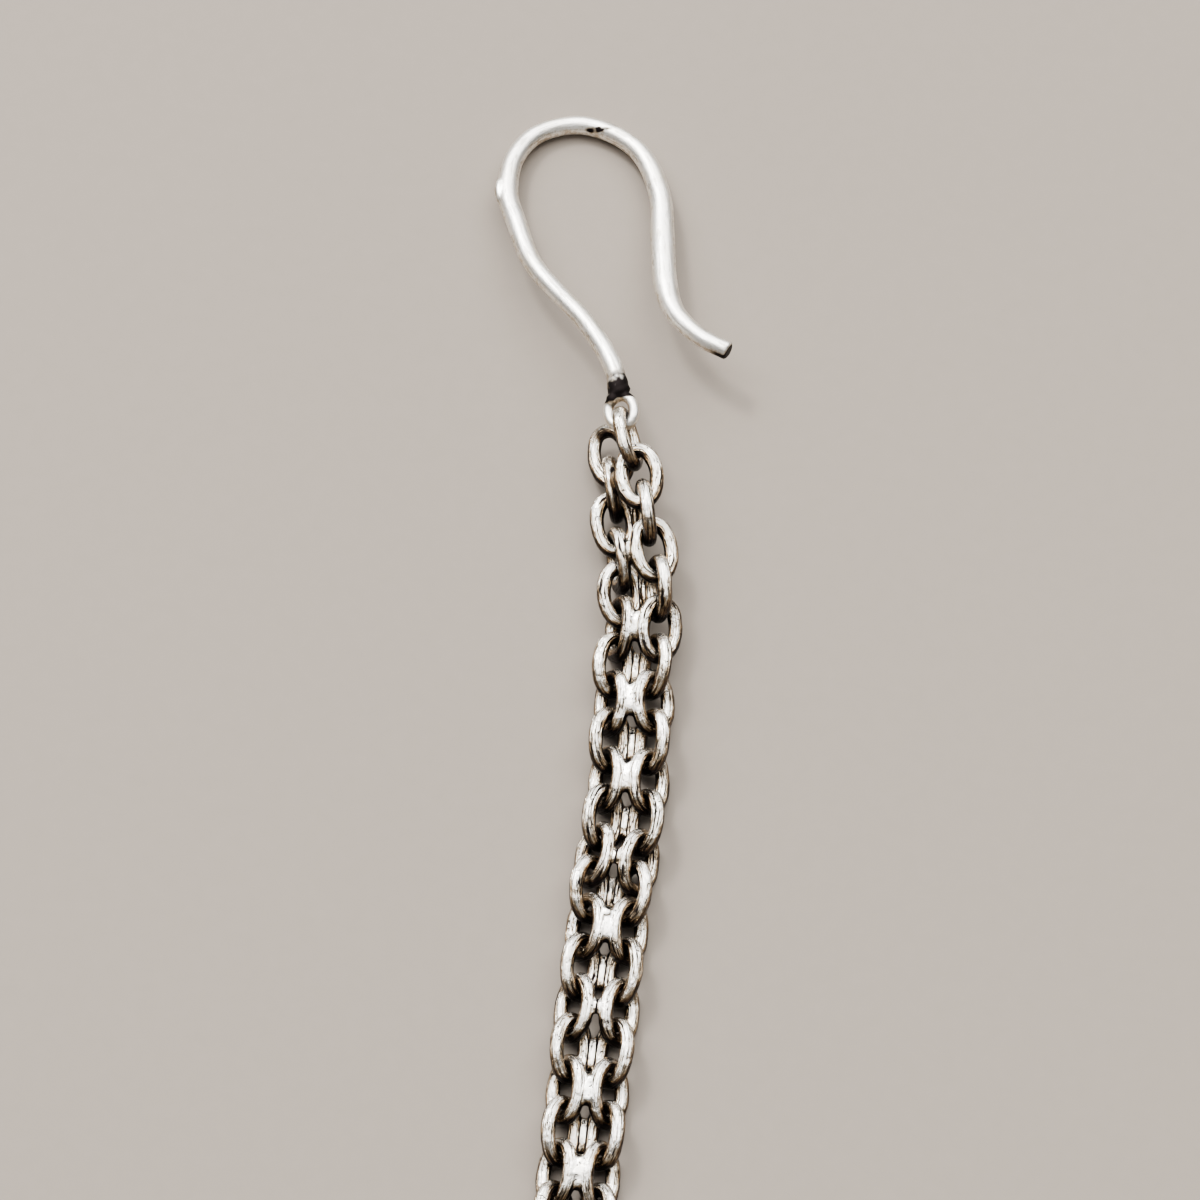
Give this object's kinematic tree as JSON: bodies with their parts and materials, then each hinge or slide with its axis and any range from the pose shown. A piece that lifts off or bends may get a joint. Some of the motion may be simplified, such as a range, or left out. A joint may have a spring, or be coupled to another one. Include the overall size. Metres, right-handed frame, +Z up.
{
  "type": "maang tikka",
  "caption": "Silver hair jewel: a bent wire hook, a double-row chain of oval links soldered in pairs, and a plain round domed drop.",
  "frame": {"origin": "centre of the whole piece's box in plan, on the surface it lies on", "axes": "+Y along the chain towards the hook, +Z up from the surface, +X to the right seen from above"},
  "size_m": [0.024, 0.1388, 0.0057],
  "materials": {
    "polished_silver": "polished",
    "aged_silver": "polished on the high places and oxidised dark in the recesses",
    "satin_silver": "satin"
  },
  "bodies": {
    "root": {"hair_hook": "polished_silver", "double_link_01": "aged_silver", "double_link_02": "aged_silver", "double_link_03": "aged_silver", "double_link_04": "aged_silver", "double_link_05": "aged_silver", "double_link_06": "aged_silver", "double_link_07": "aged_silver", "double_link_08": "aged_silver", "double_link_09": "aged_silver", "double_link_10": "aged_silver", "double_link_11": "aged_silver", "double_link_12": "aged_silver", "double_link_13": "aged_silver", "double_link_14": "aged_silver", "double_link_15": "aged_silver", "double_link_16": "aged_silver", "double_link_17": "aged_silver", "double_link_18": "aged_silver", "double_link_19": "aged_silver", "double_link_20": "aged_silver", "double_link_21": "aged_silver", "double_link_22": "aged_silver", "double_link_23": "aged_silver", "double_link_24": "aged_silver", "double_link_25": "aged_silver", "double_link_26": "aged_silver", "double_link_27": "aged_silver", "double_link_28": "aged_silver", "double_link_29": "aged_silver", "double_link_30": "aged_silver", "double_link_31": "aged_silver", "end_ring": "aged_silver", "drop": "satin_silver"}
  },
  "joints": []
}
